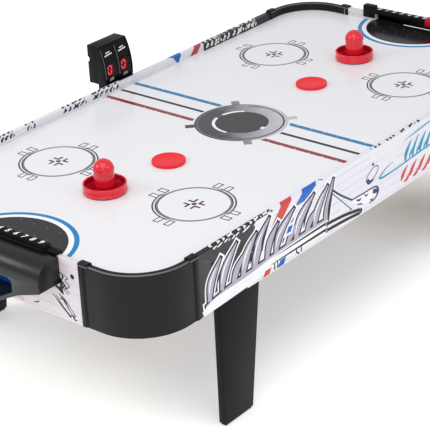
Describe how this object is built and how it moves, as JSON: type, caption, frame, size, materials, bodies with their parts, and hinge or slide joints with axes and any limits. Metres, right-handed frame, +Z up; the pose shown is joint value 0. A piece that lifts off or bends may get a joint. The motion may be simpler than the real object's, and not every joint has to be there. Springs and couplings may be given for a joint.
{
  "type": "tabletop air hockey table",
  "caption": "Tabletop air hockey table with board legs, moulded corners, air fan, goal puck catchers, sliding score markers, electronic scoreboard, pushers and pucks.",
  "frame": {"origin": "centre of the table's bounding box on the surface it stands on", "axes": "+X runs along the table towards the far goal, +Y across it towards the scoreboard, +Z up"},
  "size_m": [1.097, 0.5516, 0.345],
  "materials": {
    "field_print": "smooth printed laminate on board",
    "rail_print": "printed satin laminate on fibreboard",
    "raw_board": "bare fibreboard",
    "black_plastic": "satin moulded",
    "black_board": "black laminate on fibreboard",
    "rubber_pad": "matte",
    "steel": "zinc plated",
    "dark_steel": "black oxide screws",
    "red_plastic": "satin moulded",
    "red_gloss": "polished moulded",
    "grey_plastic": "satin moulded",
    "white_plastic": "satin moulded",
    "smoked_window": "smoked red, glossy",
    "circuit_board": "solder mask",
    "felt": "dense felt"
  },
  "bodies": {
    "table": {"playfield": "field_print", "bottom_panel": "raw_board", "side_rail_right": "rail_print", "side_rail_left": "rail_print", "end_rail_near": "rail_print", "end_rail_far": "rail_print", "corner_near_right": "black_plastic", "corner_near_left": "black_plastic", "corner_far_right": "black_plastic", "corner_far_left": "black_plastic", "side_batten_right": "raw_board", "side_batten_left": "raw_board", "end_batten_near": "raw_board", "end_batten_far": "raw_board", "leg_near_right": "black_board", "leg_near_left": "black_board", "leg_far_right": "black_board", "leg_far_left": "black_board", "foot_pads": "rubber_pad", "leg_bolts": "steel", "rail_screws": "dark_steel", "puck_catcher_near": "black_plastic", "puck_catcher_far": "black_plastic", "score_bar_near": "black_plastic", "score_bar_far": "black_plastic", "goal_sensor_near": "grey_plastic", "goal_sensor_far": "grey_plastic", "catcher_screws": "steel", "fan_housing": "black_plastic", "fan_motor": "steel", "fan_guard": "black_plastic", "fan_screws": "steel", "switch_plate": "black_plastic", "dc_jack": "grey_plastic", "scoreboard_bracket": "black_plastic", "scoreboard_front": "black_plastic", "scoreboard_back": "black_plastic", "display_window_left": "smoked_window", "display_window_right": "smoked_window", "digit_module_left": "white_plastic", "digit_module_right": "white_plastic", "scoreboard_pcb": "circuit_board", "battery_door": "black_plastic", "scoreboard_screws": "steel"},
    "fan": {"fan_impeller": "white_plastic"},
    "rocker": {"power_rocker": "red_plastic"},
    "slider_near": {"score_slider_near": "red_plastic"},
    "slider_far": {"score_slider_far": "red_plastic"},
    "pusher_a": {"pusher_near": "red_gloss", "pusher_felt_near": "felt"},
    "pusher_b": {"pusher_far": "red_gloss", "pusher_felt_far": "felt"},
    "puck_a": {"puck_near": "red_plastic"},
    "puck_b": {"puck_far": "red_plastic"},
    "reset": {"reset_button": "red_plastic"}
  },
  "joints": [
    {"name": "fan_spin", "type": "hinge", "parent": "table", "child": "fan", "pos_m": [0, -0.0202, 0.2], "axis": [0, 0, 1], "continuous": true},
    {"name": "power_switch", "type": "hinge", "parent": "table", "child": "rocker", "pos_m": [-0.103, 0.2323, 0.244], "axis": [1, 0, 0], "range_deg": [0, 16]},
    {"name": "score_marker_near", "type": "slide", "parent": "table", "child": "slider_near", "axis": [0, 1, 0], "range_m": [-0.14, 0]},
    {"name": "score_marker_far", "type": "slide", "parent": "table", "child": "slider_far", "axis": [0, 1, 0], "range_m": [-0.037, 0.103]},
    {"name": "pusher_slide_near", "type": "slide", "parent": "table", "child": "pusher_a", "axis": [0, 1, 0], "range_m": [-0.2134, 0.2114]},
    {"name": "pusher_slide_far", "type": "slide", "parent": "table", "child": "pusher_b", "axis": [0, 1, 0], "range_m": [-0.2164, 0.2084]},
    {"name": "puck_glide_near", "type": "slide", "parent": "table", "child": "puck_a", "axis": [0, 1, 0], "range_m": [-0.2094, 0.2284]},
    {"name": "puck_glide_far", "type": "slide", "parent": "table", "child": "puck_b", "axis": [0, 1, 0], "range_m": [-0.2124, 0.2254]},
    {"name": "reset_press", "type": "slide", "parent": "table", "child": "reset", "axis": [-1, 0, 0], "range_m": [0, 0.0015], "stiffness_N_per_m": 300}
  ]
}
